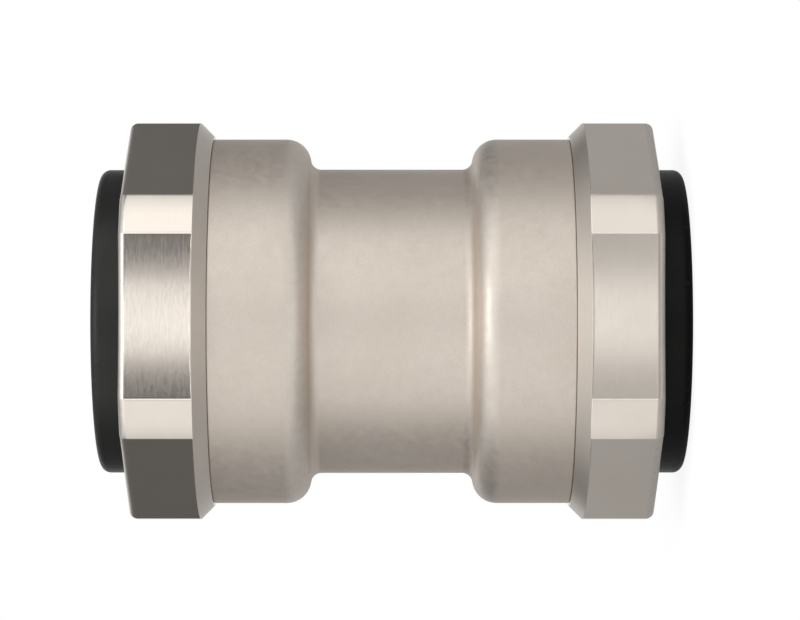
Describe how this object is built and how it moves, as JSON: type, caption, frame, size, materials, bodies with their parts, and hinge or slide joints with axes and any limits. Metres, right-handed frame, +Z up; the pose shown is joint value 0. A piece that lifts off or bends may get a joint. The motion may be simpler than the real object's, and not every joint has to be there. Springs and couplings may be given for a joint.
{
  "type": "push-fit repair coupling",
  "caption": "Straight metal push-fit repair coupling for plastic pipe, with a hexagonal nut and a black release collar at each end and a bore right through.",
  "frame": {"origin": "centre of the lower release collar's outer face, on the pipe axis and on the surface that the coupling stands on", "axes": "+Z up along the pipe axis; one flat of each nut faces -Y"},
  "size_m": [0.0527, 0.0528, 0.0771],
  "materials": {
    "body_metal": "nickel-plated, fine blasted, warm grey",
    "nut_metal": "nickel-plated, machined satin, warm grey",
    "collar_plastic": "satin black",
    "ring_plastic": "natural white",
    "stainless_sheet": "stamped spring steel",
    "seal_rubber": "matte black"
  },
  "bodies": {
    "coupling": {"coupling_body": "body_metal", "upper_union_nut": "nut_metal", "upper_clamp_ring": "ring_plastic", "upper_grab_ring": "stainless_sheet", "upper_support_ring": "ring_plastic", "upper_outer_o_ring": "seal_rubber", "upper_spacer_ring": "ring_plastic", "upper_inner_o_ring": "seal_rubber", "upper_backing_washer": "ring_plastic", "lower_union_nut": "nut_metal", "lower_clamp_ring": "ring_plastic", "lower_grab_ring": "stainless_sheet", "lower_support_ring": "ring_plastic", "lower_outer_o_ring": "seal_rubber", "lower_spacer_ring": "ring_plastic", "lower_inner_o_ring": "seal_rubber", "lower_backing_washer": "ring_plastic"},
    "upper_collar": {"upper_release_collar": "collar_plastic"},
    "lower_collar": {"lower_release_collar": "collar_plastic"}
  },
  "joints": [
    {"name": "upper_collar_slide", "type": "slide", "parent": "coupling", "child": "upper_collar", "axis": [0, 0, -1], "range_m": [0, 0.002], "stiffness_N_per_m": 250, "springref_m": -0.02, "deforming": ["upper_grab_ring"]},
    {"name": "lower_collar_slide", "type": "slide", "parent": "coupling", "child": "lower_collar", "axis": [0, 0, 1], "range_m": [0, 0.002], "stiffness_N_per_m": 250, "springref_m": -0.02, "deforming": ["lower_grab_ring"]}
  ]
}
